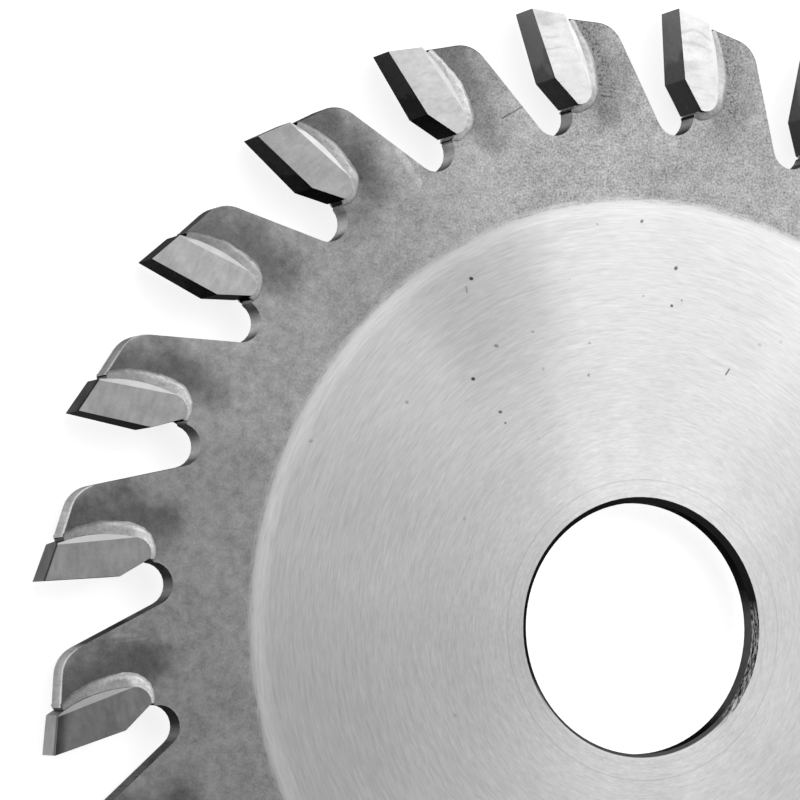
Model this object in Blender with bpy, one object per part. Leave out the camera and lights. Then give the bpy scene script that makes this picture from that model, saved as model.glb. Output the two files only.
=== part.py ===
"""Carbide-tipped cutting disc for a small angle grinder.

A round steel plate with a chamfered bore carries 24 teeth. Each tooth has a curved seat, and in it a
carbide tip is held by a brazed joint: a thin film behind and under the tip that swells into a low shelf on
both faces of the plate. The disc lies flat, with the bore's axis on Z and the middle of the plate at Z = 0.
It turns counter-clockwise seen from +Z, and the first tooth's cutting edge lies on +Y.
"""

import math

import bmesh
import bpy
from mathutils import Vector

MM = 0.001

# Disc: driving dimensions in millimetres
CUTTING_DIAMETER = 100.0
BORE_DIAMETER = 20.0
PLATE_THICKNESS = 2.2
BORE_CHAMFER = 0.45
TOOTH_COUNT = 24
FIRST_TOOTH_ANGLE = 90.0

# Carbide tip: side view in millimetres, angles in degrees from the tooth's own radius
RAKE_LENGTH = 5.8
HOOK_ANGLE = 7.6
FACET_LENGTH = 2.86
FACET_ANGLE = 33.7
TOP_LENGTH = 2.9
TOP_CLEARANCE_ANGLE = 16.0
BACK_LENGTH = 6.3
BACK_ANGLE = 9.6
BACK_BOW = 0.46
END_BOW = 0.45
TOP_BEVEL = 0.12
BEVEL_ANGLE = 25.0

# Carbide tip: how far it stands out of the plate, and how its sides lean
SIDE_CLEARANCE = 0.475
SIDE_TAPER_ANGLE = 3.0
SIDE_RELIEF_ANGLE = 2.7

# Brazed joint between tip and plate: film and reaches in millimetres, rises and the shelf's reach as shares
BRAZE_FILM = 0.2
FIT_GAP = 0.05
FILLET_REACH = 1.05
FILLET_END_REACH = 0.55
FILLET_RISE = 0.7
SHELF_REACH = 0.74
SHELF_RISE = 0.8

# Plate outline behind and below the tip
LAND_DROP = 0.55
LAND_LENGTH = 2.5
LAND_ANGLE = 14.5
SHOULDER_RADIUS = 2.4
GULLET_RADIUS = 1.65
GULLET_LEAD = 0.26
GULLET_DROP = 0.5

# Straight pieces in each curved stretch
BACK_STEPS = 8
END_STEPS = 6
SHOULDER_STEPS = 6
GULLET_STEPS = 10
BORE_STEPS = 96

SMOOTH_ANGLE = math.radians(30.0)
CUTTING_RADIUS = CUTTING_DIAMETER / 2
PLATE_HALF = PLATE_THICKNESS / 2
PITCH = math.tau / TOOTH_COUNT
SEAT_OFFSET = BRAZE_FILM + 2 * FIT_GAP


def clear_scene():
    for thing in list(bpy.data.objects):
        bpy.data.objects.remove(thing, do_unlink=True)


# Plane geometry of one tooth: x along the tooth's radius, y along its travel


def inward(angle, length):
    """A step toward the bore that leans back from the radius by an angle in degrees."""
    lean = math.radians(angle)
    return Vector((-length * math.cos(lean), -length * math.sin(lean)))


def left_of(direction):
    return Vector((-direction.y, direction.x))


def turned(point, angle):
    cosine = math.cos(angle)
    sine = math.sin(angle)
    return Vector((point.x * cosine - point.y * sine, point.x * sine + point.y * cosine))


def on_circle(centre, radius, angle):
    return centre + Vector((radius * math.cos(angle), radius * math.sin(angle)))


def arc_by_angle(centre, radius, start, end, steps):
    return [on_circle(centre, radius, start + (end - start) * i / steps) for i in range(steps + 1)]


def arc_by_bow(start, end, bow, steps):
    """The arc from start to end that bows to the left of its chord."""
    chord = end - start
    radius = (chord.length_squared / 4 + bow * bow) / (2 * bow)
    centre = (start + end) / 2 - left_of(chord.normalized()) * (radius - bow)
    first = math.atan2(start.y - centre.y, start.x - centre.x)
    sweep = 2 * math.asin(chord.length / (2 * radius))
    return arc_by_angle(centre, radius, first, first - sweep, steps)


def offset_path(path, distances):
    """The path moved to its left, each point by its own distance."""
    moved = []
    last = len(path) - 1
    for i, point in enumerate(path):
        before = (path[max(i, 1)] - path[max(i, 1) - 1]).normalized()
        after = (path[min(i, last - 1) + 1] - path[min(i, last - 1)]).normalized()
        left = left_of((before + after).normalized())
        moved.append(point + left * distances[i] / left.dot(left_of(after)))
    return moved


def even_offset(path, distance):
    return offset_path(path, [distance] * len(path))


def tip_corners():
    """Corners of the flat side: cutting edge, rake break, lower end, back of the end, back of the top."""
    edge = Vector((CUTTING_RADIUS, 0.0))
    rake_break = edge + inward(HOOK_ANGLE, RAKE_LENGTH)
    lower_end = rake_break + inward(FACET_ANGLE, FACET_LENGTH)
    top_back = edge + inward(90.0 - TOP_CLEARANCE_ANGLE, TOP_LENGTH)
    end_back = top_back + inward(BACK_ANGLE, BACK_LENGTH)
    return edge, rake_break, lower_end, end_back, top_back


def bowed_back_start():
    """The top of the bowed back, a bevel's width behind the flat side's corner."""
    edge, _, _, _, top_back = tip_corners()
    return top_back + (top_back - edge).normalized() * TOP_BEVEL


def seated_path():
    """The part of the tip's outline that lies against the plate, from the land down round the lower end."""
    _, _, lower_end, end_back, _ = tip_corners()
    start = bowed_back_start()
    back = arc_by_bow(start, end_back, BACK_BOW, BACK_STEPS)
    land_level = start + (back[1] - start).normalized() * LAND_DROP
    end = arc_by_bow(end_back, lower_end, END_BOW, END_STEPS)
    return [land_level] + back[1:] + end[1:]


def tip_half_width(point):
    """Half the tip's width: it grows toward the bore and shrinks behind the cutting edge."""
    taper = (CUTTING_RADIUS - point.x) * math.tan(math.radians(SIDE_TAPER_ANGLE))
    relief = point.y * math.tan(math.radians(SIDE_RELIEF_ANGLE))
    return PLATE_HALF + SIDE_CLEARANCE + taper + relief


def bevel_inner_edge(point):
    """The point on the flat side's straight back edge that lies beside a point of the bowed back."""
    _, _, _, end_back, top_back = tip_corners()
    start = bowed_back_start()
    chord = end_back - start
    share = (point - start).dot(chord) / chord.length_squared
    return top_back.lerp(end_back, share)


def bevelled_half_width(point):
    """Half the tip's width at a point of its bowed back, below the bevel."""
    inner = bevel_inner_edge(point)
    return tip_half_width(inner) - (point - inner).length * math.tan(math.radians(BEVEL_ANGLE))


def seated_half_widths():
    """Half the tip's width at each point of the seated path."""
    path = seated_path()
    back = [bevelled_half_width(point) for point in path[:BACK_STEPS]]
    return back + [tip_half_width(point) for point in path[BACK_STEPS:]]


def gullet_centre():
    lower_end = tip_corners()[2]
    return lower_end + Vector((-GULLET_DROP, GULLET_LEAD + GULLET_RADIUS))


def shoulder_centre(land_start):
    land_end = land_start + inward(90.0 - LAND_ANGLE, LAND_LENGTH)
    along = (land_start - land_end).normalized()
    return land_end + left_of(along) * SHOULDER_RADIUS


def tooth_outline():
    """The plate's edge over one tooth and the gullet ahead of it, counter-clockwise."""
    seat = even_offset(seated_path(), SEAT_OFFSET)
    shoulder = shoulder_centre(seat[0])
    gullet = gullet_centre()

    # The straight back of the next tooth touches this gullet and that tooth's shoulder from opposite sides
    next_shoulder = turned(shoulder, PITCH)
    between = next_shoulder - gullet
    crossing = math.asin((GULLET_RADIUS + SHOULDER_RADIUS) / between.length)
    slope = math.atan2(between.y, between.x) - crossing
    slope_left = slope + math.pi / 2

    # The shoulder runs from its own back slope to the land, the gullet from under the tip to the next slope
    shoulder_start = slope_left - math.pi - PITCH
    shoulder_end = -math.radians(LAND_ANGLE)
    outline = arc_by_angle(shoulder, SHOULDER_RADIUS, shoulder_start, shoulder_end, SHOULDER_STEPS)
    outline += seat
    gullet_start = 1.5 * math.pi
    outline += arc_by_angle(gullet, GULLET_RADIUS, gullet_start, slope_left, GULLET_STEPS)
    return outline


# Meshes


def finish_mesh(name, bm):
    bmesh.ops.recalc_face_normals(bm, faces=bm.faces)
    mesh = bpy.data.meshes.new(name)
    bm.to_mesh(mesh)
    bm.free()
    mesh.shade_smooth()
    mesh.set_sharp_from_angle(angle=SMOOTH_ANGLE)
    return mesh


def add_loop(bm, points):
    """A closed ring of edges through points given in millimetres."""
    verts = [bm.verts.new(Vector(point) * MM) for point in points]
    edges = [bm.edges.new((vert, verts[i - 1])) for i, vert in enumerate(verts)]
    return verts, edges


def plate_mesh():
    tooth = tooth_outline()
    rim = []
    for k in range(TOOTH_COUNT):
        rim += [turned(point, k * PITCH) for point in tooth]
    bore = arc_by_angle(Vector((0.0, 0.0)), BORE_DIAMETER / 2, 0.0, math.tau, BORE_STEPS)[:-1]

    bm = bmesh.new()
    _, rim_edges = add_loop(bm, [(point.x, point.y, -PLATE_HALF) for point in rim])
    _, bore_edges = add_loop(bm, [(point.x, point.y, -PLATE_HALF) for point in bore])
    bmesh.ops.triangle_fill(bm, edges=rim_edges + bore_edges, use_beauty=True, normal=(0.0, 0.0, -1.0))
    raised = bmesh.ops.extrude_face_region(bm, geom=list(bm.faces), use_keep_orig=True)
    top_verts = [item for item in raised["geom"] if isinstance(item, bmesh.types.BMVert)]
    bmesh.ops.translate(bm, verts=top_verts, vec=(0.0, 0.0, PLATE_THICKNESS * MM))

    bore_limit = (BORE_DIAMETER / 2 + BORE_CHAMFER / 2) * MM
    mouth_edges = []
    for edge in bm.edges:
        ends = [vert.co for vert in edge.verts]
        level = abs(ends[0].z - ends[1].z) < PLATE_HALF * MM
        if level and all(end.xy.length < bore_limit for end in ends):
            mouth_edges.append(edge)
    bmesh.ops.bevel(bm, geom=mouth_edges, offset=BORE_CHAMFER * MM, segments=1, affect="EDGES")
    return finish_mesh("disc_body", bm)


def tip_mesh():
    """Two flat sides, a bevel between each side's straight back edge and the bowed back, and the walls."""
    edge, rake_break, _, _, _ = tip_corners()
    seated = seated_path()
    bevelled = [bowed_back_start()] + seated[:BACK_STEPS]
    rounded = seated[BACK_STEPS:]

    bm = bmesh.new()

    def both_sides(point, half_width):
        return [bm.verts.new(Vector((point.x, point.y, side * half_width)) * MM) for side in (-1, 1)]

    front = [both_sides(point, tip_half_width(point)) for point in (rake_break, edge)]
    straight = [bevel_inner_edge(point) for point in bevelled]
    inner = [both_sides(point, tip_half_width(point)) for point in straight]
    outer = [both_sides(point, bevelled_half_width(point)) for point in bevelled]
    end = [both_sides(point, tip_half_width(point)) for point in rounded]

    walls = outer + end + front
    for near, far in zip(walls, walls[1:]):
        bm.faces.new((near[0], near[1], far[1], far[0]))
    bm.faces.new((front[1][0], front[1][1], inner[0][1], outer[0][1], outer[0][0], inner[0][0]))
    for side in (0, 1):
        bm.faces.new([pair[side] for pair in front + inner + end])
        for i in range(len(outer) - 1):
            corners = (inner[i], inner[i + 1], outer[i + 1], outer[i])
            bm.faces.new([pair[side] for pair in corners])
        bm.faces.new((inner[-1][side], end[0][side], outer[-1][side]))
    return finish_mesh("carbide_tip", bm)


def braze_mesh():
    """The joint's section, swept along the seat: a web of film with a low shelf at either face."""
    path = seated_path()
    half_widths = seated_half_widths()
    last = len(path) - 1
    swell = FILLET_REACH - FILLET_END_REACH
    reaches = [FILLET_END_REACH + swell * math.sin(math.pi * i / last) for i in range(last + 1)]
    tip_side = even_offset(path, FIT_GAP)
    seat_side = even_offset(path, FIT_GAP + BRAZE_FILM)
    toe = offset_path(path, reaches)
    foot = PLATE_HALF + FIT_GAP

    bm = bmesh.new()
    rings = []
    for i in range(last + 1):
        crest = foot + (half_widths[i] - foot) * FILLET_RISE
        shelf = tip_side[i].lerp(toe[i], SHELF_REACH)
        shelf_level = foot + (crest - foot) * SHELF_RISE
        half = [(tip_side[i], crest), (shelf, shelf_level), (toe[i], foot), (seat_side[i], foot)]
        section = half + [(place, -level) for place, level in reversed(half)]
        rings.append([bm.verts.new(Vector((place.x, place.y, level)) * MM) for place, level in section])
    for near, far in zip(rings, rings[1:]):
        for j in range(len(near)):
            bm.faces.new((near[j - 1], near[j], far[j], far[j - 1]))
    bm.faces.new(rings[0])
    bm.faces.new(reversed(rings[-1]))
    return finish_mesh("braze_joint", bm)


# Materials and assembly


def metal(name, colour, roughness):
    material = bpy.data.materials.new(name)
    material.use_nodes = True
    shader = material.node_tree.nodes["Principled BSDF"]
    shader.inputs["Base Color"].default_value = (*colour, 1.0)
    shader.inputs["Metallic"].default_value = 1.0
    shader.inputs["Roughness"].default_value = roughness
    return material


def add_piece(name, mesh, parent, angle=0.0):
    piece = bpy.data.objects.new(name, mesh)
    piece.rotation_euler = (0.0, 0.0, angle)
    piece.parent = parent
    bpy.context.scene.collection.objects.link(piece)
    return piece


def build_disc():
    clear_scene()
    axis = bpy.data.objects.new("disc_axis", None)
    bpy.context.scene.collection.objects.link(axis)

    plate = plate_mesh()
    plate.materials.append(metal("sandblasted_steel", (0.36, 0.36, 0.36), 0.5))
    tip = tip_mesh()
    tip.materials.append(metal("ground_carbide", (0.52, 0.52, 0.52), 0.25))
    braze = braze_mesh()
    braze.materials.append(metal("braze_alloy", (0.60, 0.60, 0.60), 0.4))

    first_angle = math.radians(FIRST_TOOTH_ANGLE)
    add_piece("disc_body", plate, axis, first_angle)
    for k in range(TOOTH_COUNT):
        angle = first_angle + k * PITCH
        add_piece(f"carbide_tip_{k + 1:02d}", tip, axis, angle)
        add_piece(f"braze_joint_{k + 1:02d}", braze, axis, angle)


build_disc()
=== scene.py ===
"""Carbide-tipped cutting disc: finished plate, tips and braze, with the studio that shows them.

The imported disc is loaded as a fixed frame. Every piece is modelled in that frame, in metres, and takes the
place of the node that it finishes. The disc lies flat on a pale floor, with its bore's axis on Z.
"""

import math

import bmesh
import bpy
from mathutils import Matrix, Vector
from mathutils.bvhtree import BVHTree


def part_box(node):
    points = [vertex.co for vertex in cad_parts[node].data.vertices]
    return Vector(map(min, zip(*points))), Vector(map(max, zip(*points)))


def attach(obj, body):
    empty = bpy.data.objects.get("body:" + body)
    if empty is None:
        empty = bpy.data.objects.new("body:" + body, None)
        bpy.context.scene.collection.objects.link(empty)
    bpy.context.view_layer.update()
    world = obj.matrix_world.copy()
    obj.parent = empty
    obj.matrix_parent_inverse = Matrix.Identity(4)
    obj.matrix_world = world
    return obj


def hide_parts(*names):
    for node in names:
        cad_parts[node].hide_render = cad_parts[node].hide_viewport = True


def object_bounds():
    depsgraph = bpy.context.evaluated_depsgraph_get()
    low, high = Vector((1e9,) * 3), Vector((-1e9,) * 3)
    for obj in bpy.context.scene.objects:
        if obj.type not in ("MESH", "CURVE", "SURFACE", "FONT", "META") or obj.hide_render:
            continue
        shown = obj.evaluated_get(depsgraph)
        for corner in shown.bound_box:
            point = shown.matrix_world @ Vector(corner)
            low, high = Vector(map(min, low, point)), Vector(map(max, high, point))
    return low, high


bl_info = {
    "name": "Cutting disc",
    "version": (1, 0, 0),
    "blender": (4, 5, 0),
    "location": "3D View > Sidebar > Cutting disc",
    "description": "Finishes a carbide-tipped cutting disc on its packed frame",
    "category": "Object",
}

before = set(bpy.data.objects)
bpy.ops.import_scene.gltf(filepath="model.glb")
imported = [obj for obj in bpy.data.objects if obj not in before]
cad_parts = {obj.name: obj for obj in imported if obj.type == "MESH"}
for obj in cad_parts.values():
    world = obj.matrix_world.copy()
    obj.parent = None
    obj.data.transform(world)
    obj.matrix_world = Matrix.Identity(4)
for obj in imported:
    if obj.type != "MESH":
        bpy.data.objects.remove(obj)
CAD_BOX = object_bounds()

MM = 0.001
TOOTH_COUNT = sum(name.startswith("carbide_tip_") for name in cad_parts)
PITCH = math.tau / TOOTH_COUNT
FIRST_TOOTH = math.pi / 2
PLATE_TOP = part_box("disc_body")[1].z
LAND_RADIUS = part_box("disc_body")[1].y

# Names of the groups and attributes that pass from a piece's shape to its finish
FREE_EDGE = "free_edge"
# The level of painted light and shade that each tip and joint carries
PAINTED_LEVEL = "painted_level"
WALL_HEADING = "wall_heading"

# Where the plate's edges lie, by their distance from the disc's axis
BORE_REGION = 15.0 * MM
CHAMFER_REACH = 12.0 * MM
LAND_START = 46.4 * MM

# Back of a tip in its tooth's own frame, in millimetres: x along the radius, y along the travel
TIP_BACK_MIDDLE = (46.1, -4.5, 0.0)
TIP_BACK_HALF = 3.6
TIP_BACK_LEAN = math.radians(9.6)

# Marks of use on the plate's face, placed in millimetres from the bore's axis.
# Dents and scratches have a start, an end, a width, and how deep or how bright they are.
HUB_CENTRE = (0.716, 0.241, 0.0)
HAIRLINE_RINGS = (((0.15, -0.11), 11.95, 0.22), ((0.1, 0.0), 10.85, 0.10))
DENTS = (
    ((-2.06, 32.45), (-2.0, 32.5), 0.17, 0.75),
    ((1.2, 28.99), (1.25, 29.05), 0.20, 0.85),
    ((1.02, 25.96), (1.05, 25.96), 0.17, 0.85),
    ((1.9, 26.46), (1.9, 26.5), 0.13, 0.45),
    ((-1.57, 26.47), (-1.5, 26.5), 0.12, 0.35),
    ((-16.65, 26.32), (-16.55, 26.32), 0.19, 0.95),
    ((-17.0, 25.6), (-16.9, 25.2), 0.12, 0.40),
    ((-14.2, 21.24), (-14.05, 21.24), 0.18, 0.55),
    ((-15.98, 18.45), (-15.9, 18.45), 0.19, 0.95),
    ((-13.5, 16.07), (-13.4, 16.07), 0.16, 0.80),
    ((-12.97, 15.24), (-12.95, 15.24), 0.14, 0.65),
    ((-11.1, 22.66), (-11.0, 22.66), 0.14, 0.35),
    ((-6.1, 22.23), (-6.0, 22.25), 0.14, 0.35),
    ((6.2, 20.9), (6.5, 21.35), 0.10, 0.75),
)
SCRATCHES = (
    ((-12.99, 40.5), (-14.75, 39.3), 0.09, 0.45),
    ((-23.5, 35.8), (-21.5, 33.4), 0.40, 1.30),
    ((-46.1, -4.0), (-42.5, -3.5), 0.22, 1.25),
    ((-44.8, -4.3), (-41.6, -3.7), 0.16, 1.18),
    ((-26.2, 33.4), (-26.6, 30.8), 3.2, 0.74),
    ((-5.1, 44.2), (-6.2, 41.5), 3.0, 0.82),
    ((-16.3, 40.2), (-15.7, 38.4), 1.8, 1.36),
)
# Direction from the axis of the side of the bore whose wall and chamfer are painted bright, as a painted
# highlight
BORE_HIGHLIGHT_SIDE = (0.974, -0.225, 0.0)

# Directions from the axis in which the ground centre is painted lighter or darker, as painted highlight and
# shade in fans: how narrow, and by how much.
# In the centre of the plate the level changes from near the bore to near the rim.
HUB_PAINTED_LIGHT_FANS = (
    ((0.97, -0.22, 0.0), 0.70, 1.16, 1.16),
    ((0.85, 0.53, 0.0), 0.92, 1.08, 1.04),
    ((0.20, 0.98, 0.0), 0.966, 1.00, 0.94),
    ((-0.276, 0.961, 0.0), 0.966, 1.10, 1.05),
    ((-0.515, 0.857, 0.0), 0.966, 1.08, 0.80),
    ((-0.82, -0.57, 0.0), 0.70, 0.94, 0.88),
    ((0.50, -0.866, 0.0), 0.95, 1.12, 1.00),
)
# Directions from the axis in which the blasted rim is painted lighter or darker, as painted light and shade
# in fans: how narrow, and the level there.
RIM_PAINTED_LIGHT_FANS = (
    ((0.17, 0.985, 0.0), 0.955, 0.85),
    ((-0.42, 0.907, 0.0), 0.985, 1.08),
    ((-0.88, 0.475, 0.0), 0.975, 1.14),
    ((-0.94, -0.342, 0.0), 0.965, 0.90),
)

# Smooth steps along Y, in millimetres, in the light and shade painted on the teeth: from, to, and the level
# before and after
LAND_SHADING_STEPS = (
    (-10.0, 0.0, 0.86, 1.0),
    (4.0, 14.0, 1.0, 0.75),
    (15.0, 25.0, 1.0, 0.35),
    (29.0, 37.0, 1.0, 0.40),
)
GULLET_SHADING_STEPS = ((-6.0, 14.0, 0.53, 1.0), (33.0, 40.0, 1.0, 0.55))
BEVEL_SHADING_STEPS = ((-12.0, -2.0, 0.62, 1.0), (20.0, 26.0, 0.97, 0.80), (31.0, 35.0, 1.0, 1.28))
TOP_SHADING_STEPS = ((-13.0, -2.0, 1.58, 0.90), (3.0, 13.0, 1.0, 0.72), (15.0, 24.0, 1.0, 0.5))

# How much of its height the braze keeps, and how far it draws in to the tip, by millimetres from the axis
BRAZE_HEIGHT = ((41.2, 0.40), (42.2, 0.62), (43.2, 0.86), (44.0, 0.80), (45.4, 0.52), (48.6, 0.42))
BRAZE_DRAWN_IN = ((41.4, 0.20), (42.6, 0.00), (45.0, 0.00), (48.6, 0.10))
TALLEST_SHELF = 0.6 * MM

# Where a joint's end starts to draw back from the land, and over what length, in millimetres
LAND_END_START = 47.4
LAND_END_LENGTH = 0.9

# How far from its tip a joint is held, and over what lengths it comes free of the tip and of the land
HELD_BY_TIP = 0.15 * MM
FREE_FROM_TIP = 0.45 * MM
FREE_FROM_LAND = 1.2 * MM

# Painted light and shade on each tip's sides and each joint's braze, as a level of brightness for each, from
# the first tooth round
TIP_LIGHT_AND_SHADE = (1.03, 1.07, 0.97, 0.80, 1.12, 1.09, 1.06, 0.83, 1.05, 0.92, 1.18, 0.97)
JOINT_LIGHT_AND_SHADE = (0.92, 0.91, 1.04, 0.82, 0.72, 0.97, 0.97, 0.98)

# How far each joint's free edge stays back toward its tip, in millimetres
JOINT_HELD_BACK = (0.16, 0.18, 0.13, 0.08, 0.02, 0.00, 0.05, 0.00)

# Studio: the side that the light walls stand on, the lamp, and the camera as fitted to the photograph
LIT_SIDE = (0.735, 0.874, 0.03)
LAMP_PLACE = (0.393, 0.354, 0.459)
LAMP_WIDTH = 0.38
LAMP_POWER = 1.15
CAMERA_PLACE = (-142.41, -13.85, 291.05)
CAMERA_RIGHT = (0.91971, 0.05975, 0.38803)
CAMERA_BACK = (-0.38168, -0.09535, 0.91936)
FOCAL_PIXELS = 4053.0
PICTURE_PIXELS = 800.0


# Sizes and finishes that a user would change


def length_property(name, description, millimetres):
    return bpy.props.FloatProperty(
        name=name, description=description, default=millimetres * MM, min=0.0, unit="LENGTH", precision=5
    )


def grey_property(name, description, level):
    return bpy.props.FloatVectorProperty(
        name=name,
        description=description,
        default=(level, level, level),
        min=0.0,
        max=1.0,
        size=3,
        subtype="COLOR",
    )


class DiscSizes(bpy.types.PropertyGroup):
    """Small roundings and reliefs that finish the pieces"""

    land_round: length_property("Land rounding", "Rounding on the edges of each tooth's land", 0.34)
    rim_round: length_property("Rim rounding", "Rounding on the other edges of the plate's outline", 0.18)
    tip_round: length_property("Tip edge rounding", "Rounding on the carbide tip's ground edges", 0.03)
    braze_wetting: length_property("Braze wetting", "How far the braze creeps on tip and plate", 0.06)
    braze_wander: length_property("Braze wander", "How far the braze's free edge wanders", 0.28)
    braze_round: length_property("Braze rounding", "Rounding on the outer edge of the braze", 0.18)
    braze_end: length_property("Braze end", "How far the braze stops short of the tooth's land", 0.15)
    braze_lumps: length_property("Braze lumps", "Height of the uneven flow on the braze", 0.05)
    hub_radius: length_property("Ground centre radius", "Where the ground centre meets the rim", 34.1)


class DiscFinish(bpy.types.PropertyGroup):
    """Base colours of the metals"""

    hub: grey_property("Ground steel", "Bright ground centre of the plate", 0.72)
    rim: grey_property("Blasted steel", "Matt rim of the plate", 0.41)
    cut: grey_property("Cut edge", "Walls of the teeth, gullets and bore", 0.30)
    side: grey_property("Ground carbide", "Flat sides of the tips", 0.40)
    front: grey_property("Carbide front", "Rake faces of the tips", 0.15)
    braze: grey_property("Braze", "Braze round the tips", 0.62)


# Mesh helpers


def only(piece):
    """The piece becomes the one selected and active object."""
    bpy.ops.object.select_all(action="DESELECT")
    piece.select_set(True)
    bpy.context.view_layer.objects.active = piece


def copy_of_node(name, node):
    """A new object with a merged copy of a CAD node's mesh, its flat faces joined."""
    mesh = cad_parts[node].data.copy()
    mesh.name = name
    mesh.materials.clear()
    piece = bpy.data.objects.new(name, mesh)
    bpy.context.scene.collection.objects.link(piece)
    only(piece)
    bpy.ops.object.mode_set(mode="EDIT")
    bpy.ops.mesh.select_all(action="SELECT")
    bpy.ops.mesh.customdata_custom_splitnormals_clear()
    bpy.ops.mesh.remove_doubles(threshold=0.002 * MM)
    bpy.ops.mesh.dissolve_limited(angle_limit=math.radians(0.4))
    bpy.ops.object.mode_set(mode="OBJECT")
    return piece


def select_edges(piece, wanted):
    """In edit mode, selects the edges that pass a test."""
    bpy.ops.mesh.select_mode(type="EDGE")
    bpy.ops.mesh.select_all(action="DESELECT")
    bm = bmesh.from_edit_mesh(piece.data)
    count = 0
    for edge in bm.edges:
        if wanted(edge):
            edge.select_set(True)
            count += 1
    bmesh.update_edit_mesh(piece.data)
    if count == 0:
        raise RuntimeError(f"no edges found to shape on {piece.name}")


def bevel_edges(piece, wanted, width, segments):
    only(piece)
    bpy.ops.object.mode_set(mode="EDIT")
    select_edges(piece, wanted)
    bpy.ops.mesh.bevel(offset=width, segments=segments, profile=0.5, clamp_overlap=True)
    bpy.ops.object.mode_set(mode="OBJECT")


def shade(piece, angle):
    """Smooth shading that keeps large flat faces flat."""
    only(piece)
    bpy.ops.object.shade_smooth_by_angle(angle=math.radians(angle))
    flat = piece.modifiers.new("flat_faces", "WEIGHTED_NORMAL")
    flat.keep_sharp = True
    flat.weight = 100
    bpy.ops.object.modifier_apply(modifier=flat.name)


def turned_copy(piece, name, angle):
    """A copy with its own mesh, turned about the disc's axis."""
    copy = bpy.data.objects.new(name, piece.data.copy())
    copy.data.name = name
    copy.data.transform(Matrix.Rotation(angle, 4, "Z"))
    bpy.context.scene.collection.objects.link(copy)
    return copy


def weigh(piece, name, weight_of):
    """A vertex group whose weights come from where each point lies."""
    group = piece.vertex_groups.new(name=name)
    for vert in piece.data.vertices:
        group.add([vert.index], min(max(weight_of(vert.co), 0.0), 1.0), "REPLACE")


def push(piece, direction, strength, group, texture=None):
    """Moves a piece's points along one direction by a group's weights, evenly or by a texture."""
    if abs(strength) < 0.0001 * MM:
        return
    move = piece.modifiers.new("push", "DISPLACE")
    move.direction = direction
    move.strength = strength
    move.vertex_group = group
    move.mid_level = 0.0
    if texture is not None:
        move.texture = texture
        move.texture_coords = "LOCAL"
        move.mid_level = 0.5
    only(piece)
    bpy.ops.object.modifier_apply(modifier=move.name)


def level_at(value, stops):
    """The level on a line through stops of value and level."""
    if value <= stops[0][0]:
        return stops[0][1]
    for (low, at_low), (high, at_high) in zip(stops, stops[1:]):
        if value <= high:
            return at_low + (at_high - at_low) * (value - low) / (high - low)
    return stops[-1][1]


def mark(piece, name, level):
    """Gives every face of a piece the same level, for its finish to read."""
    made = piece.data.attributes.new(name, "FLOAT", "FACE")
    made.data.foreach_set("value", [level] * len(piece.data.polygons))


def settle(piece, node):
    """The piece stands for its node and rides with the disc."""
    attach(piece, "root")
    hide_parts(node)


def in_tooth(point):
    """A point in the first tooth's own frame: x along its radius, y along its travel."""
    return Matrix.Rotation(-FIRST_TOOTH, 3, "Z") @ point


# Node helpers


class Nodes:
    """A node tree, and the sums that are built in it."""

    def __init__(self, tree):
        self.tree = tree

    def node(self, kind, **settings):
        made = self.tree.nodes.new(kind)
        for key, value in settings.items():
            setattr(made, key, value)
        return made

    def feed(self, socket, value):
        if isinstance(value, bpy.types.NodeSocket):
            self.tree.links.new(value, socket)
        else:
            socket.default_value = value

    def maths(self, operation, *values):
        made = self.node("ShaderNodeMath", operation=operation)
        for socket, value in zip(made.inputs, values):
            self.feed(socket, value)
        return made.outputs[0]

    def times(self, first, *others):
        """The product of numbers."""
        for other in others:
            first = self.maths("MULTIPLY", first, other)
        return first

    def plus(self, first, *others):
        """The sum of numbers."""
        for other in others:
            first = self.maths("ADD", first, other)
        return first

    def away(self, value, middle):
        """How far a number is from another, on either side."""
        return self.maths("ABSOLUTE", self.maths("SUBTRACT", value, middle))

    def vectors(self, operation, *values):
        made = self.node("ShaderNodeVectorMath", operation=operation)
        for socket, value in zip(made.inputs, values):
            self.feed(socket, value)
        return made.outputs["Value"] if operation in {"LENGTH", "DOT_PRODUCT"} else made.outputs["Vector"]

    def scaled(self, vector, level):
        """A vector or a colour times a number."""
        made = self.node("ShaderNodeVectorMath", operation="SCALE")
        self.feed(made.inputs[0], vector)
        self.feed(made.inputs["Scale"], level)
        return made.outputs["Vector"]

    def split(self, vector):
        made = self.node("ShaderNodeSeparateXYZ")
        self.feed(made.inputs[0], vector)
        return made.outputs[0], made.outputs[1], made.outputs[2]

    def join(self, x, y, z):
        made = self.node("ShaderNodeCombineXYZ")
        for socket, value in zip(made.inputs, (x, y, z)):
            self.feed(socket, value)
        return made.outputs[0]

    def between(self, value, low, high, at_low=0.0, at_high=1.0):
        """A smooth step from one level to another as the value goes from low to high."""
        made = self.node("ShaderNodeMapRange", interpolation_type="SMOOTHSTEP")
        self.feed(made.inputs["Value"], value)
        made.inputs["From Min"].default_value = low
        made.inputs["From Max"].default_value = high
        made.inputs["To Min"].default_value = at_low
        made.inputs["To Max"].default_value = at_high
        return made.outputs["Result"]

    def steps(self, value, stops):
        """Smooth steps along one value, multiplied together."""
        return self.times(*(self.between(value, *stop) for stop in stops))

    def spread(self, value, low, high):
        """A straight stretch of a zero-to-one value to another range."""
        return self.maths("MULTIPLY_ADD", value, high - low, low)

    def blend(self, share, first, second):
        """From the first number to the second by a share."""
        made = self.node("ShaderNodeMix", data_type="FLOAT")
        for place, value in ((0, share), (2, first), (3, second)):
            self.feed(made.inputs[place], value)
        return made.outputs[0]

    def blend_colour(self, share, first, second):
        made = self.node("ShaderNodeMix", data_type="RGBA")
        for place, value in ((0, share), (6, first), (7, second)):
            self.feed(made.inputs[place], value)
        return made.outputs[2]


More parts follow.
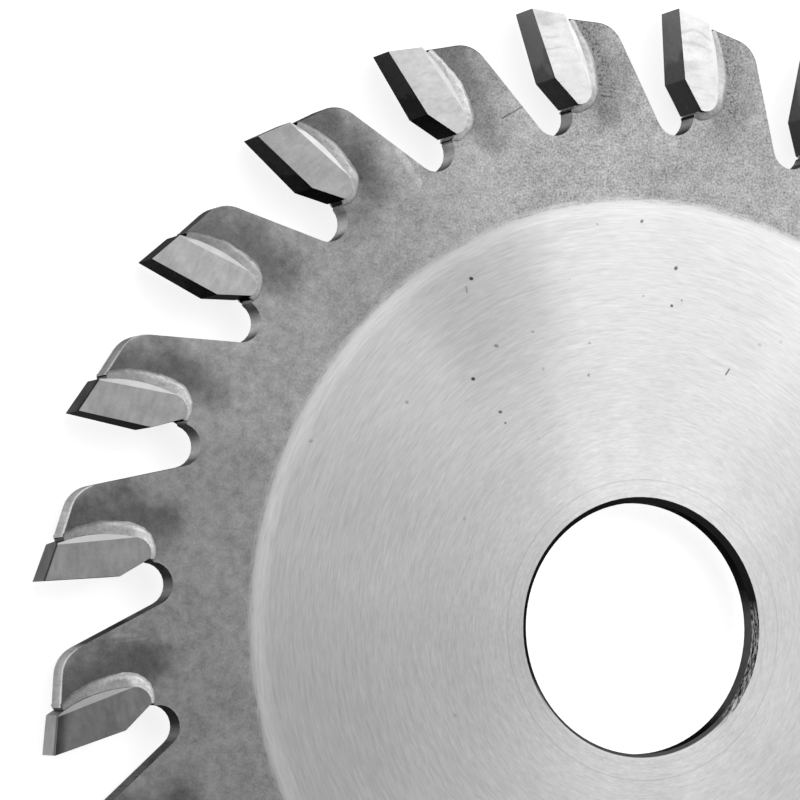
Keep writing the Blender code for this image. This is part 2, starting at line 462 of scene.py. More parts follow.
class Paint(Nodes):
    """A material's nodes, with the places on the disc that its finish goes by."""

    def __init__(self, name):
        self.material = bpy.data.materials.new(name)
        self.material.use_nodes = True
        super().__init__(self.material.node_tree)
        self.shader = self.tree.nodes["Principled BSDF"]
        self.place = self.node("ShaderNodeTexCoord").outputs["Object"]

    def attribute(self, name):
        return self.node("ShaderNodeAttribute", attribute_name=name).outputs["Fac"]

    def noise(self, vector, scale, detail=2.0, roughness=0.5):
        made = self.node("ShaderNodeTexNoise")
        self.feed(made.inputs["Vector"], vector)
        made.inputs["Scale"].default_value = scale
        made.inputs["Detail"].default_value = detail
        made.inputs["Roughness"].default_value = roughness
        return made.outputs["Fac"]

    def streaks(self, direction, turns, level, lines, detail, roughness):
        """Noise that is drawn out round the axis, and changes quickly with a level."""
        around = self.vectors("MULTIPLY", direction, (turns, turns, 0.0))
        ring = self.join(0.0, 0.0, self.times(level, lines))
        return self.noise(self.vectors("ADD", around, ring), 1.0, detail, roughness)

    def spots(self, scale):
        """Distance to the nearest scattered point, and a random number for that point."""
        made = self.node("ShaderNodeTexVoronoi")
        self.feed(made.inputs["Vector"], self.place)
        made.inputs["Scale"].default_value = scale
        return made.outputs["Distance"], self.split(made.outputs["Color"])[0]

    def turned(self, vector, angle):
        """A vector turned about Z."""
        made = self.node("ShaderNodeMapping")
        self.feed(made.inputs["Vector"], vector)
        made.inputs["Rotation"].default_value = (0.0, 0.0, angle)
        return made.outputs[0]

    def bump(self, height, depth):
        """Relief whose depth is in metres at a height of one."""
        made = self.node("ShaderNodeBump")
        made.inputs["Distance"].default_value = depth
        self.feed(made.inputs["Height"], height)
        return made.outputs["Normal"]

    def millimetres(self):
        """The place's x, y and z in millimetres."""
        return self.split(self.vectors("MULTIPLY", self.place, (1000.0, 1000.0, 1000.0)))

    def polar(self):
        """Radius in millimetres, and the direction from the axis as a vector of length one."""
        x, y, _ = self.split(self.place)
        flat = self.join(x, y, 0.0)
        return self.times(self.vectors("LENGTH", flat), 1000.0), self.vectors("NORMALIZE", flat)

    def tooth_place(self):
        """The place in its own tooth, in millimetres: x along the radius, y along the travel."""
        x, y, z = self.split(self.place)
        radius, _ = self.polar()
        angle = self.maths("ARCTAN2", y, x)
        ahead = math.radians(2.5)
        behind = self.maths("SUBTRACT", FIRST_TOOTH + ahead, angle)
        folded = self.maths("FLOORED_MODULO", behind, PITCH)
        local = self.maths("SUBTRACT", ahead, folded)
        along = self.times(radius, self.maths("COSINE", local))
        across = self.times(radius, self.maths("SINE", local))
        return along, across, self.times(z, 1000.0)

    def near_line(self, flat, start, end, inner, outer):
        """One near a straight line between two points given in millimetres, falling to zero away from it."""
        along = Vector((*end, 0.0)) - Vector((*start, 0.0))
        from_start = self.vectors("SUBTRACT", flat, (*start, 0.0))
        share = self.vectors("DOT_PRODUCT", from_start, along / along.length_squared)
        share = self.maths("MINIMUM", self.maths("MAXIMUM", share, 0.0), 1.0)
        off = self.vectors("LENGTH", self.vectors("SUBTRACT", from_start, self.scaled(along, share)))
        return self.between(off, inner, outer, 1.0, 0.0)

    def finish(self, colour, roughness, normal=None, metallic=1.0, grazing=1.0):
        self.feed(self.shader.inputs["Metallic"], metallic)
        self.shader.inputs["Specular Tint"].default_value = (grazing, grazing, grazing, 1.0)
        self.feed(self.shader.inputs["Base Color"], colour)
        self.feed(self.shader.inputs["Roughness"], roughness)
        if normal is not None:
            self.feed(self.shader.inputs["Normal"], normal)
        return self.material


# Finishes


def distance_from_braze(paint):
    """Millimetres from the back of the tip, in the plane of the plate."""
    along, across, _ = paint.tooth_place()
    from_middle = paint.vectors("SUBTRACT", paint.join(along, across, 0.0), TIP_BACK_MIDDLE)
    x, y, _ = paint.split(paint.turned(from_middle, -TIP_BACK_LEAN))
    y = paint.times(y, paint.between(along, 41.5, 44.5, 1.7, 1.0))
    past_end = paint.maths("MAXIMUM", paint.maths("SUBTRACT", paint.maths("ABSOLUTE", x), TIP_BACK_HALF), 0.0)
    return paint.vectors("LENGTH", paint.join(past_end, y, 0.0))


def plate_face(sizes, finish):
    """Ground bright centre with circular brushing, and a blasted rim with tint behind each tip, both painted
    lighter or darker in fans round the axis as painted highlight and shade.
    """
    paint = Paint("plate_face")
    radius, direction = paint.polar()
    x, y, _ = paint.millimetres()
    flat = paint.join(x, y, 0.0)
    hub_radius = paint.vectors("LENGTH", paint.vectors("SUBTRACT", flat, HUB_CENTRE))
    edge = sizes.hub_radius / MM

    streak = paint.streaks(direction, 9.0, radius, 4.2, 3.0, 0.65)
    fine_streak = paint.streaks(direction, 24.0, radius, 9.0, 2.0, 0.6)
    cloud = paint.noise(paint.place, 110.0, 2.0)
    brushed_and_painted_light = paint.plus(
        paint.spread(streak, -0.20, 0.20),
        paint.spread(fine_streak, -0.18, 0.18),
        paint.spread(cloud, 0.94, 1.06),
    )

    waver = paint.plus(paint.spread(fine_streak, -0.5, 0.5), paint.spread(streak, -0.5, 0.5))
    in_rim = paint.between(paint.plus(hub_radius, waver), edge - 0.45, edge + 0.4)
    band = paint.between(paint.away(hub_radius, edge - 0.6), 0.2, 1.1, 1.0, 0.0)
    band = paint.times(band, paint.between(x, -24.0, -2.0, 1.0, 0.2))
    brushed_and_painted_light = paint.times(brushed_and_painted_light, paint.spread(band, 1.0, 1.17))

    # Painted highlight and shade in fans round the ground centre, multiplied into its brushed tone
    for middle, narrow, at_bore, at_rim in HUB_PAINTED_LIGHT_FANS:
        fan = paint.between(paint.vectors("DOT_PRODUCT", direction, middle), narrow, 1.0)
        level = paint.between(radius, 15.0, 29.0, at_bore, at_rim)
        brushed_and_painted_light = paint.times(brushed_and_painted_light, paint.blend(fan, 1.0, level))
    brushed_and_painted_light = paint.times(brushed_and_painted_light, paint.between(radius, 12.0, 17.0, 1.06, 1.0))

    for centre, ring_radius, depth in HAIRLINE_RINGS:
        from_centre = paint.vectors("LENGTH", paint.vectors("SUBTRACT", flat, (*centre, 0.0)))
        line = paint.between(paint.away(from_centre, ring_radius), 0.02, 0.07, 1.0, 0.0)
        broken = paint.times(line, paint.between(streak, 0.35, 0.60, 0.3, 1.0))
        brushed_and_painted_light = paint.times(brushed_and_painted_light, paint.spread(broken, 1.0, 1.0 - depth))

    ragged = paint.noise(paint.place, 5200.0, 2.0, 0.6)
    spot, chance = paint.spots(520.0)
    spot = paint.plus(spot, paint.spread(ragged, -0.06, 0.06))
    marks = paint.times(paint.between(spot, 0.03, 0.11, 0.6, 0.0), paint.between(chance, 0.55, 1.0))
    for start, end, width, depth in DENTS:
        dent = paint.near_line(flat, start, end, 0.35 * width, width)
        marks = paint.maths("MAXIMUM", marks, paint.times(dent, depth))

    grain = paint.noise(paint.place, 5400.0, 3.0, 0.7)
    mottle = paint.noise(paint.place, 1500.0, 2.0, 0.6)
    blotch = paint.noise(paint.place, 400.0, 3.0, 0.55)
    clear = paint.steps(x, ((-42.0, -6.0, 0.75, 2.1), (-19.0, -10.0, 1.0, 1.25)))
    speckle = paint.times(paint.spread(grain, -0.46, 0.46), clear)
    uneven = paint.plus(paint.spread(mottle, -0.38, 0.38), paint.spread(blotch, -0.26, 0.26))
    blasted = paint.plus(speckle, 1.0, uneven)

    distance = distance_from_braze(paint)
    reach = paint.plus(distance, paint.spread(blotch, -2.0, 2.0))
    tint = paint.times(paint.between(reach, 0.8, 4.8, 1.0, 0.0), paint.between(x, -14.0, -2.0, 1.0, 0.42))
    specks = paint.times(
        paint.between(paint.noise(paint.place, 4400.0, 2.0, 0.7), 0.53, 0.64),
        paint.between(distance, 0.3, 2.6, 1.0, 0.06),
        paint.between(x, -20.0, -11.0, 0.12, 1.0),
    )
    blasted = paint.times(blasted, paint.spread(tint, 1.0, 0.45), paint.spread(specks, 1.0, 0.36))
    # The rim's colour is painted lighter or darker in fans, as painted light and shade
    for middle, narrow, level in RIM_PAINTED_LIGHT_FANS:
        toward = paint.vectors("DOT_PRODUCT", direction, middle)
        blasted = paint.times(blasted, paint.between(toward, narrow, 1.0, 1.0, level))
    for start, end, width, level in SCRATCHES:
        scratch = paint.near_line(flat, start, end, 0.3 * width, width)
        blasted = paint.times(blasted, paint.spread(scratch, 1.0, level))

    hub_colour = paint.scaled(finish.hub, paint.times(brushed_and_painted_light, paint.spread(marks, 1.0, 0.06)))
    colour = paint.blend_colour(in_rim, hub_colour, paint.scaled(finish.rim, blasted))
    roughness = paint.blend(in_rim, paint.spread(streak, 0.37, 0.45), paint.spread(grain, 0.38, 0.48))
    turning = paint.node("ShaderNodeTangent", direction_type="RADIAL", axis="Z")
    paint.feed(paint.shader.inputs["Tangent"], turning.outputs[0])
    paint.shader.inputs["Anisotropic"].default_value = 0.5
    paint.shader.inputs["Anisotropic Rotation"].default_value = 0.25
    brushing = paint.times(paint.plus(streak, fine_streak), 0.06)
    relief = paint.blend(in_rim, brushing, paint.times(grain, 0.35))
    return paint.finish(colour, roughness, paint.bump(relief, 0.018 * MM))


def cut_edge(finish):
    """Walls of the outline, with light and shade painted by where each wall stands and which way it faces:
    light on the lands, grey in the gullets, dark along the backs and in the bore, with a painted highlight on
    one side of the bore.
    """
    paint = Paint("cut_edge")
    along, across, height = paint.tooth_place()
    x, y, _ = paint.millimetres()
    radius, direction = paint.polar()
    scored = paint.noise(paint.vectors("MULTIPLY", paint.place, (5200.0, 5200.0, 260.0)), 1.0, 2.0, 0.6)
    patch = paint.noise(paint.place, 900.0, 3.0, 0.6)
    uneven = paint.plus(paint.spread(scored, 0.75, 1.25), paint.spread(patch, -0.3, 0.3))

    # Painted light and shade on the gullet walls, by which way each wall faces and where its tooth stands
    heading = paint.attribute(WALL_HEADING)
    turned = paint.plus(heading, paint.between(y, -4.0, 8.0, 22.0, 0.0))
    front_of_gullet = paint.between(y, 0.0, 10.0, 1.5, 1.15)
    gullet_tone = paint.times(
        paint.blend(paint.between(heading, -45.0, -14.0), front_of_gullet, 2.7),
        paint.between(turned, -16.0, 46.0, 1.0, 0.20),
        paint.steps(y, GULLET_SHADING_STEPS),
    )
    # Painted shade on the back slopes, darker on the upper teeth, and a painted highlight line along their
    # rounded top edge
    slope_wall = paint.between(y, -6.0, -1.0, 0.95, 0.15)
    slope_tone = paint.blend(paint.between(height, 1.078, 1.096), slope_wall, 1.8)
    # Painted shade under the tip's seat, on the teeth toward -X
    shade_under_seat = paint.times(
        paint.steps(along, ((41.1, 41.8, 0.0, 1.0), (42.7, 42.9, 1.0, 0.0))),
        paint.steps(across, ((-3.4, -3.0, 0.0, 1.0), (-1.5, -1.1, 1.0, 0.0))),
        paint.between(x, -27.0, -22.0, 1.0, 0.0),
    )
    # Painted highlight on the upper part of each land's wall, and painted light and shade stepped from tooth
    # to tooth
    land_tone = paint.times(paint.between(height, 0.66, 0.92, 2.3, 3.2), paint.steps(y, LAND_SHADING_STEPS))
    # Painted highlight on one side of the bore's wall
    toward_highlight = paint.vectors("DOT_PRODUCT", direction, BORE_HIGHLIGHT_SIDE)
    bore_tone = paint.between(toward_highlight, 0.80, 0.97, 0.08, 0.38)

    in_gullet = paint.between(along, 41.6, 42.6, 1.0, 0.0)
    on_land = paint.between(radius, 46.3, 47.4)
    in_bore = paint.between(radius, 12.0, 13.0, 1.0, 0.0)
    tone = paint.blend(in_gullet, slope_tone, gullet_tone)
    tone = paint.times(tone, paint.spread(shade_under_seat, 1.0, 0.3))
    tone = paint.blend(on_land, tone, land_tone)
    tone = paint.blend(in_bore, tone, bore_tone)
    tone = paint.maths("MINIMUM", paint.times(tone, uneven), 3.3)
    colour = paint.scaled(finish.cut, tone)
    relief = paint.bump(scored, 0.01 * MM)
    return paint.finish(colour, paint.spread(patch, 0.36, 0.54), relief, grazing=0.1)


def bore_chamfer(finish):
    """The turned chamfer at the bore's mouths: dark, with worn streaks painted bright on one side as a
    painted highlight, painted lighter toward the bottom, and a painted light line at its outer edge there.
    """
    paint = Paint("bore_chamfer")
    _, direction = paint.polar()
    _, _, height = paint.millimetres()
    worn = paint.streaks(direction, 14.0, height, 12.0, 3.0, 0.75)
    toward_highlight = paint.vectors("DOT_PRODUCT", direction, BORE_HIGHLIGHT_SIDE)
    # Painted highlight on the streaks toward one side
    bright = paint.times(paint.between(toward_highlight, 0.86, 0.95), paint.between(worn, 0.42, 0.66))
    _, upward, _ = paint.split(direction)
    # Painted lighter toward the bottom of the bore
    grey = paint.times(paint.between(upward, -0.75, -0.30, 0.34, 0.10), paint.spread(worn, 0.5, 1.5))
    # Painted light line along the chamfer's outer edge at the bottom
    lip = paint.times(paint.between(height, 0.88, 0.96), paint.between(upward, -0.8, -0.4, 1.0, 0.0))
    tone = paint.plus(grey, paint.times(lip, 2.4), paint.times(bright, 3.6))
    colour = paint.scaled(finish.cut, tone)
    metal = paint.spread(bright, 1.0, 0.3)
    return paint.finish(colour, 0.42, paint.bump(worn, 0.01 * MM), metallic=metal, grazing=0.1)


def carbide_side(finish):
    """Flat ground side of a tip, with smears and thin arcs that run across it, painted shade along its top
    edge on the lower teeth, and its tip's level of painted light and shade.
    """
    paint = Paint("carbide_side")
    along, across, height = paint.tooth_place()
    middle = paint.plus(across, 0.9)
    bend = paint.noise(paint.place, 260.0, 1.0)
    arch = paint.plus(along, paint.times(middle, middle, 0.16), paint.spread(bend, -1.2, 1.2))
    x, y, _ = paint.split(paint.vectors("MULTIPLY", paint.place, (90.0, 90.0, 0.0)))
    own = paint.plus(x, y, paint.times(height, 3.0))
    level = paint.noise(paint.join(paint.times(arch, 0.9), own, 0.0), 1.0, 0.0)
    arcs = paint.times(
        paint.between(paint.away(level, 0.5), 0.02, 0.07, 1.0, 0.0),
        paint.between(bend, 0.42, 0.58, 0.15, 1.0),
        paint.between(x, -2.2, -1.0, 0.20, 1.0),
    )
    smear_place = paint.join(paint.times(along, 2.6), paint.times(across, 0.7), own)
    smear = paint.noise(smear_place, 1.0, 1.0, 0.5)
    smudge = paint.noise(paint.place, 620.0, 2.0, 0.55)
    grit = paint.noise(paint.place, 4200.0, 2.0, 0.6)
    # Painted shade along the top edge of the tips on the lower teeth
    below_top = paint.maths("SUBTRACT", paint.maths("MULTIPLY_ADD", across, 0.287, 50.0), along)
    top_edge_shade = paint.times(paint.between(below_top, 0.1, 1.1, 1.0, 0.0), paint.between(y, -0.9, -0.5, 1.0, 0.0))
    ground = paint.plus(
        paint.spread(smear, 0.83, 1.17),
        paint.spread(smudge, -0.26, 0.26),
        paint.spread(grit, -0.14, 0.14),
    )
    tone = paint.times(
        ground,
        paint.spread(arcs, 1.0, 0.82),
        paint.spread(top_edge_shade, 1.0, 0.32),
        paint.attribute(PAINTED_LEVEL),
    )
    roughness = paint.plus(paint.spread(smudge, 0.31, 0.37), paint.spread(smear, -0.03, 0.03))
    return paint.finish(paint.scaled(finish.side, tone), roughness, paint.bump(smear, 0.003 * MM))


def carbide_bevel(finish):
    """Bright polished bevel behind the flat side, with painted highlight toward +X and painted light and
    shade stepped from tooth to tooth.
    """
    paint = Paint("carbide_bevel")
    smudge = paint.noise(paint.place, 700.0, 2.0, 0.55)
    x, y, _ = paint.millimetres()
    # Painted highlight toward +X, and painted light and shade stepped from tooth to tooth
    tone = paint.times(
        paint.spread(smudge, 1.2, 1.7), paint.between(x, -20.0, -6.0, 1.0, 1.45), paint.steps(y, BEVEL_SHADING_STEPS)
    )
    return paint.finish(paint.scaled(finish.side, tone), paint.spread(smudge, 0.29, 0.36))


def carbide_front(finish):
    """Rake face and lower facet: dark sintered carbide with stains and fine specks, with painted shade on the
    lower facet and on the teeth toward -X.
    """
    paint = Paint("carbide_front")
    along, _, _ = paint.tooth_place()
    x, _, _ = paint.millimetres()
    bend = paint.noise(paint.place, 300.0, 2.0)
    stain = paint.between(paint.plus(along, paint.spread(bend, -4.0, 4.0)), 45.9, 47.0, 0.68, 1.0)
    speck = paint.noise(paint.place, 3200.0, 3.0, 0.75)
    spot, chance = paint.spots(900.0)
    chip = paint.times(paint.between(spot, 0.06, 0.14, 1.0, 0.0), paint.between(chance, 0.75, 0.85))
    tone = paint.times(
        paint.plus(paint.times(stain, paint.spread(speck, 0.65, 1.35)), paint.times(chip, 0.6)),
        # Painted shade on the lower facet, under the tip, and on the teeth toward -X
        paint.between(along, 44.15, 44.35, 0.85, 1.40),
        paint.between(x, -23.0, -15.0, 0.38, 1.0),
    )
    colour = paint.scaled(finish.front, tone)
    relief = paint.bump(speck, 0.005 * MM)
    return paint.finish(colour, paint.spread(speck, 0.34, 0.52), relief, grazing=0.1)


def carbide_top(finish):
    """Ground clearance face on top of a tip, darker toward one side as painted shade, with painted light and
    shade stepped from tooth to tooth, and the tip's hidden back.
    """
    paint = Paint("carbide_top")
    _, y, height = paint.millimetres()
    lines = paint.noise(paint.vectors("MULTIPLY", paint.place, (700.0, 700.0, 6000.0)), 1.0, 2.0, 0.6)
    smudge = paint.noise(paint.place, 600.0, 2.0)
    tone = paint.times(
        paint.plus(paint.spread(lines, 0.85, 1.15), paint.spread(smudge, -0.2, 0.2)),
        # Painted shade toward one side, and painted light and shade stepped from tooth to tooth
        paint.between(height, 0.9, 1.3, 1.0, 0.48),
        paint.steps(y, TOP_SHADING_STEPS),
    )
    colour = paint.scaled(finish.side, tone)
    relief = paint.bump(lines, 0.003 * MM)
    return paint.finish(colour, paint.spread(smudge, 0.29, 0.4), relief, grazing=0.1)


def flowed_braze(finish):
    """Braze as it froze: matt and mottled, with painted shade in the joint below the plate's face and along
    its low outer edge, and its joint's level of painted light and shade.
    """
    paint = Paint("flowed_braze")
    along, _, height = paint.tooth_place()
    x, _, _ = paint.millimetres()
    level = paint.maths("ABSOLUTE", height)
    lump = paint.noise(paint.place, 1100.0, 3.0, 0.6)
    fine = paint.noise(paint.place, 4200.0, 2.0, 0.65)
    proud = paint.between(level, 1.08, 1.16)
    # Painted shade on the braze in the joint below the plate's face
    film_end = paint.between(x, -45.0, -40.0, 1.1, 0.35)
    film_shade = paint.blend(paint.between(along, 45.0, 46.5), 0.04, film_end)
    film_shade = paint.blend(paint.between(x, -30.0, -21.0), film_shade, 0.50)
    # Painted shade along the braze's low outer edge, stronger on the teeth toward -X
    braze_edge_shade = paint.times(
        paint.between(level, 1.14, 1.27, 1.0, 0.0),
        paint.between(along, 43.4, 45.0),
        paint.between(x, -34.0, -25.0, 0.65, 0.12),
    )
    tone = paint.times(
        paint.plus(paint.spread(lump, 0.74, 1.26), paint.spread(fine, -0.36, 0.36)),
        paint.blend(proud, film_shade, 1.0),
        paint.spread(braze_edge_shade, 1.0, 0.0),
        paint.attribute(PAINTED_LEVEL),
    )
    colour = paint.scaled(finish.braze, tone)
    metal = paint.blend(proud, paint.between(x, -30.0, -21.0, 1.0, 0.5), 0.6)
    relief = paint.bump(fine, 0.006 * MM)
    return paint.finish(colour, paint.spread(lump, 0.42, 0.56), relief, metallic=metal, grazing=0.15)


# Pieces


class DISC_OT_plate(bpy.types.Operator):
    """Round the plate's edges and give it its ground centre and blasted rim"""

    bl_idname = "cutting_disc.plate"
    bl_label = "Plate"

    def execute(self, context):
        sizes = context.scene.disc_sizes
        finish = context.scene.disc_finish
        plate = copy_of_node("plate", "disc_body")

        def on_face(edge):
            return all(abs(abs(vert.co.z) - PLATE_TOP) < 0.001 * MM for vert in edge.verts)

        def mouth_of_rim(edge):
            """An edge between a flat face and the wall of the outline."""
            slopes = sorted(abs(face.normal.z) for face in edge.link_faces)
            outside = all(vert.co.xy.length > BORE_REGION for vert in edge.verts)
            return outside and on_face(edge) and slopes[0] < 0.1 and slopes[-1] > 0.9

        def land_edge(edge):
            """An edge of the outline's mouth whose wall faces away from the axis."""
            middle = (edge.verts[0].co + edge.verts[1].co) / 2
            if not mouth_of_rim(edge) or middle.xy.length < LAND_START:
                return False
            wall = next(face.normal for face in edge.link_faces if abs(face.normal.z) < 0.1)
            return wall.dot(Vector((middle.x, middle.y, 0.0)).normalized()) > 0.6

        bevel_edges(plate, land_edge, sizes.land_round, 4)
        bevel_edges(plate, mouth_of_rim, sizes.rim_round, 3)
        shade(plate, 35.0)
        # Which way each wall faces, for the cut edge's finish to paint light and shade by
        heading = plate.data.attributes.new(WALL_HEADING, "FLOAT", "POINT")
        for vert, item in zip(plate.data.vertices, heading.data):
            item.value = math.degrees(math.atan2(-vert.normal.y, -vert.normal.x))

        for material in (plate_face(sizes, finish), cut_edge(finish), bore_chamfer(finish)):
            plate.data.materials.append(material)
        flat, wall, chamfer = range(3)
        for face in plate.data.polygons:
            slope = abs(face.normal.z)
            if slope > 0.995:
                face.material_index = flat
            elif slope > 0.2 and face.center.xy.length < CHAMFER_REACH:
                face.material_index = chamfer
            else:
                face.material_index = wall
        settle(plate, "disc_body")
        return {"FINISHED"}


class DISC_OT_tips(bpy.types.Operator):
    """Ease the edges of a carbide tip, finish its faces and copy it to every tooth"""

    bl_idname = "cutting_disc.tips"
    bl_label = "Carbide tips"

    def execute(self, context):
        sizes = context.scene.disc_sizes
        finish = context.scene.disc_finish
        tip = copy_of_node("tip_01", "carbide_tip_01")

        def sharp(edge):
            return len(edge.link_faces) == 2 and edge.calc_face_angle() > math.radians(40.0)

        bevel_edges(tip, sharp, sizes.tip_round, 2)
        shade(tip, 20.0)

        for material in (carbide_side, carbide_bevel, carbide_front, carbide_top):
            tip.data.materials.append(material(finish))
        side, bevel, front, top = range(4)
        for face in tip.data.polygons:
            facing = in_tooth(face.normal)
            if abs(facing.z) > 0.985:
                face.material_index = side
            elif abs(facing.z) > 0.5 and facing.y < 0.2:
                face.material_index = bevel
            elif facing.y > 0.5 or facing.x < -0.6:
                face.material_index = front
            else:
                face.material_index = top
        copies = [tip] + [turned_copy(tip, f"tip_{k + 1:02d}", k * PITCH) for k in range(1, TOOTH_COUNT)]
        for k, piece in enumerate(copies):
            # Each tip's level of painted light and shade
            mark(piece, PAINTED_LEVEL, TIP_LIGHT_AND_SHADE[k % len(TIP_LIGHT_AND_SHADE)])
            settle(piece, f"carbide_tip_{k + 1:02d}")
        return {"FINISHED"}


class DISC_OT_braze(bpy.types.Operator):
    """Soften a braze joint, copy it to every tooth and make each copy flow unevenly"""

    bl_idname = "cutting_disc.braze"
    bl_label = "Braze joints"

    def soften(self, joint, sizes):
        """Closes the joint's gaps, rounds its shelf and gives it points enough to flow."""

        def shelf_edge(edge):
            """The outer edge of the shelf, above the plate's face and clear of the joint's ends."""
            above = all(abs(vert.co.z) > PLATE_TOP + 0.1 * MM for vert in edge.verts)
            return above and math.radians(15.0) < edge.calc_face_angle() < math.radians(70.0)

        only(joint)
        bpy.ops.object.mode_set(mode="EDIT")
        bpy.ops.mesh.select_all(action="SELECT")
        bpy.ops.transform.shrink_fatten(value=sizes.braze_wetting)
        select_edges(joint, shelf_edge)
        bpy.ops.mesh.bevel(offset=sizes.braze_round, segments=3, profile=0.5, clamp_overlap=True)
        bpy.ops.mesh.select_all(action="SELECT")
        bpy.ops.mesh.quads_convert_to_tris()
        bpy.ops.mesh.subdivide(number_cuts=2)
        bpy.ops.object.mode_set(mode="OBJECT")

    def settle_height(self, joint, sizes):
        """Lowers the shelf toward the joint's ends, and draws it back from the land and in to the tip."""

        def along(point):
            return in_tooth(point).x / MM

        def sunk(side):
            def weight(point):
                height = side * point.z - PLATE_TOP
                return height * (1.0 - level_at(along(point), BRAZE_HEIGHT)) / TALLEST_SHELF

            return weight

        for side in (1, -1):
            group = f"sink_{side}"
            weigh(joint, group, sunk(side))
            push(joint, "Z", -side * TALLEST_SHELF, group)
        weigh(joint, "land_end", lambda point: (along(point) - LAND_END_START) / LAND_END_LENGTH)
        push(joint, "Y", -sizes.braze_end, "land_end")
        weigh(joint, "drawn_in", lambda point: level_at(along(point), BRAZE_DRAWN_IN))
        draw = joint.modifiers.new("drawn_in", "SHRINKWRAP")
        draw.target = bpy.data.objects["tip_01"]
        draw.vertex_group = "drawn_in"
        only(joint)
        bpy.ops.object.modifier_apply(modifier=draw.name)

    def weigh_free_edge(self, joint):
        """Marks what lies away from the tip and from the land as free to wander."""
        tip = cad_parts["carbide_tip_01"].data
        points = [vert.co for vert in tip.vertices]
        tip_faces = BVHTree.FromPolygons(points, [face.vertices for face in tip.polygons])

        def looseness(point):
            from_tip = tip_faces.find_nearest(point)[3]
            from_land = LAND_RADIUS - point.xy.length
            return (from_tip - HELD_BY_TIP) / FREE_FROM_TIP * from_land / FREE_FROM_LAND

        weigh(joint, FREE_EDGE, looseness)

    def execute(self, context):
        sizes = context.scene.disc_sizes
        finish = context.scene.disc_finish
        joint = copy_of_node("braze_01", "braze_joint_01")
        self.soften(joint, sizes)
        joint.data.materials.append(flowed_braze(finish))
        self.settle_height(joint, sizes)
        self.weigh_free_edge(joint)

        copies = [joint]
        for k in range(1, TOOTH_COUNT):
            copies.append(turned_copy(joint, f"braze_{k + 1:02d}", k * PITCH))
            for group in joint.vertex_groups:
                copies[k].vertex_groups.new(name=group.name)
        for direction, strength, patch in (
            ("X", sizes.braze_wander, 1.3),
            ("Y", sizes.braze_wander, 1.1),
            ("NORMAL", sizes.braze_lumps, 0.35),
        ):
            flow = bpy.data.textures.new(f"braze_flow_{direction.lower()}", "CLOUDS")
            flow.noise_scale = patch * MM
            flow.noise_depth = 2
            for piece in copies:
                push(piece, direction, strength, FREE_EDGE, flow)
        for k, piece in enumerate(copies):
            back = JOINT_HELD_BACK[k % len(JOINT_HELD_BACK)] * MM
            heading = FIRST_TOOTH + k * PITCH
            push(piece, "X", -math.sin(heading) * back, FREE_EDGE)
            push(piece, "Y", math.cos(heading) * back, FREE_EDGE)
            shade(piece, 60.0)
            # Each joint's level of painted light and shade
            mark(piece, PAINTED_LEVEL, JOINT_LIGHT_AND_SHADE[k % len(JOINT_LIGHT_AND_SHADE)])
            settle(piece, f"braze_joint_{k + 1:02d}")
        return {"FINISHED"}


# Studio


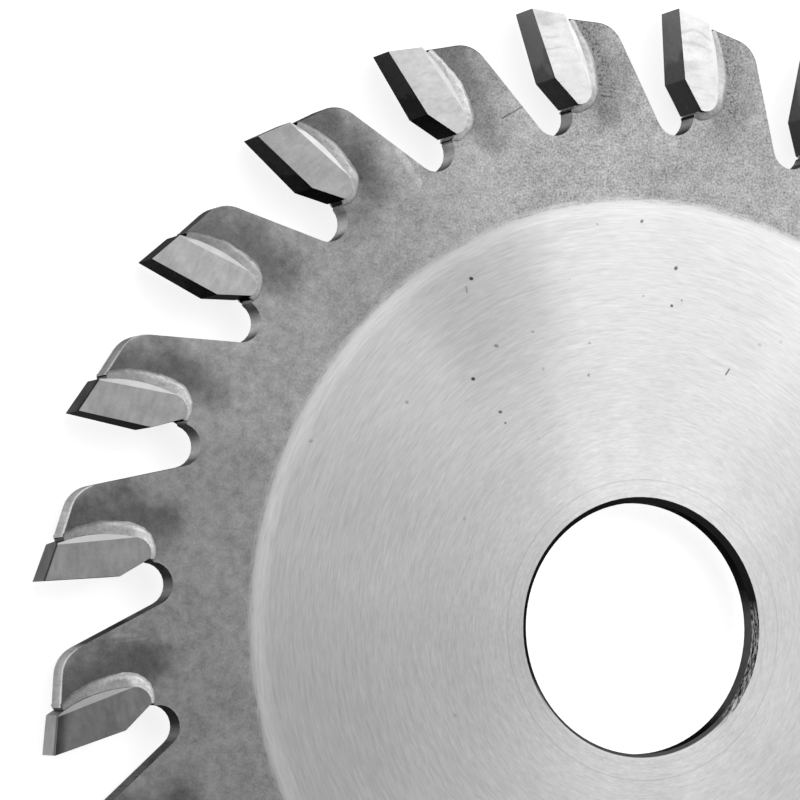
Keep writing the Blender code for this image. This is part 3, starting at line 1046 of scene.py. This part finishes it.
class DISC_OT_studio(bpy.types.Operator):
    """Lay the pale floor, hang the soft lamp and set the camera at the photograph's angle"""

    bl_idname = "cutting_disc.studio"
    bl_label = "Studio"

    def floor(self):
        """A white floor that glows to the eye and in mirrored light, with a painted shadow where the disc
        covers it, where the glow is less.
        """
        bpy.ops.object.select_all(action="DESELECT")
        bpy.ops.mesh.primitive_plane_add(size=6.0, location=(0.0, 0.0, CAD_BOX[0].z - 0.02 * MM))
        floor = bpy.context.active_object
        floor.name = "floor"
        bpy.ops.object.transform_apply(location=True, rotation=True, scale=True)

        paint = Paint("floor_white")
        paint.finish((0.62, 0.62, 0.62, 1.0), 0.9, metallic=0.0)
        paint.shader.inputs["Specular IOR Level"].default_value = 0.0
        path = paint.node("ShaderNodeLightPath")
        # Painted shadow: the glow is less where the disc covers the floor
        open_floor = paint.node("ShaderNodeAmbientOcclusion", samples=12)
        open_floor.inputs["Distance"].default_value = 14.0 * MM
        uncovered = open_floor.outputs["AO"]
        mirrored = paint.plus(path.outputs["Is Glossy Ray"], path.outputs["Is Transmission Ray"])
        mirrored = paint.times(mirrored, paint.spread(uncovered, 0.60, 0.84))
        seen = paint.times(path.outputs["Is Camera Ray"], paint.spread(uncovered, 0.80, 0.86))
        glow = paint.node("ShaderNodeEmission")
        glow.inputs["Color"].default_value = (1.0, 1.0, 1.0, 1.0)
        paint.feed(glow.inputs["Strength"], paint.plus(seen, mirrored))
        both = paint.node("ShaderNodeAddShader")
        paint.feed(both.inputs[0], paint.shader.outputs[0])
        paint.feed(both.inputs[1], glow.outputs[0])
        paint.feed(paint.tree.nodes["Material Output"].inputs["Surface"], both.outputs[0])
        floor.data.materials.append(paint.material)

    def sky(self):
        """Light walls on one side, and a low ring of light that serves the views from behind."""
        world = bpy.data.worlds.new("studio_walls")
        bpy.context.scene.world = world
        world.use_nodes = True
        nodes = Nodes(world.node_tree)
        outward = nodes.node("ShaderNodeTexCoord").outputs["Generated"]
        toward = nodes.vectors("DOT_PRODUCT", outward, Vector(LIT_SIDE).normalized())
        _, _, rise = nodes.split(outward)
        walls = nodes.between(toward, 0.10, 0.46, 0.08, 1.0)
        ring = nodes.between(rise, 0.35, 0.70, 0.55, 0.0)
        back = nodes.tree.nodes["Background"]
        back.inputs["Color"].default_value = (1.0, 1.0, 1.0, 1.0)
        nodes.feed(back.inputs["Strength"], nodes.maths("MAXIMUM", walls, ring))

    def lamp(self):
        data = bpy.data.lights.new("main_softbox", "AREA")
        data.shape = "DISK"
        data.size = LAMP_WIDTH
        data.energy = LAMP_POWER
        lamp = bpy.data.objects.new("main_softbox", data)
        bpy.context.scene.collection.objects.link(lamp)
        lamp.location = LAMP_PLACE
        lamp.rotation_euler = (-Vector(LAMP_PLACE)).to_track_quat("-Z", "Y").to_euler()

    def camera(self):
        data = bpy.data.cameras.new("camera")
        camera = bpy.data.objects.new("camera", data)
        bpy.context.scene.collection.objects.link(camera)
        back = Vector(CAMERA_BACK).normalized()
        up = back.cross(Vector(CAMERA_RIGHT).normalized()).normalized()
        turn = Matrix((up.cross(back), up, back)).transposed().to_4x4()
        camera.matrix_world = Matrix.Translation(Vector(CAMERA_PLACE) * MM) @ turn
        data.sensor_width = 36.0
        data.lens = FOCAL_PIXELS / PICTURE_PIXELS * data.sensor_width
        data.clip_start = 0.01
        data.clip_end = 20.0
        bpy.context.scene.camera = camera

    def execute(self, context):
        context.scene.view_settings.view_transform = "Standard"
        self.floor()
        self.sky()
        self.lamp()
        self.camera()
        return {"FINISHED"}


class DISC_PT_panel(bpy.types.Panel):
    """The disc's pieces and finishes"""

    bl_idname = "DISC_PT_panel"
    bl_label = "Cutting disc"
    bl_space_type = "VIEW_3D"
    bl_region_type = "UI"
    bl_category = "Cutting disc"

    def draw(self, context):
        for group in (context.scene.disc_sizes, context.scene.disc_finish):
            box = self.layout.box()
            for name in group.__annotations__:
                box.prop(group, name)
        for step in STEPS:
            self.layout.operator(step.bl_idname)


STEPS = (DISC_OT_plate, DISC_OT_tips, DISC_OT_braze, DISC_OT_studio)
CLASSES = (DiscSizes, DiscFinish, *STEPS, DISC_PT_panel)


def register():
    for item in CLASSES:
        bpy.utils.register_class(item)
    bpy.types.Scene.disc_sizes = bpy.props.PointerProperty(type=DiscSizes)
    bpy.types.Scene.disc_finish = bpy.props.PointerProperty(type=DiscFinish)


def unregister():
    del bpy.types.Scene.disc_finish
    del bpy.types.Scene.disc_sizes
    for item in reversed(CLASSES):
        bpy.utils.unregister_class(item)


def main():
    register()
    bpy.ops.cutting_disc.plate()
    bpy.ops.cutting_disc.tips()
    bpy.ops.cutting_disc.braze()
    bpy.ops.cutting_disc.studio()


if __name__ == "__main__":
    main()
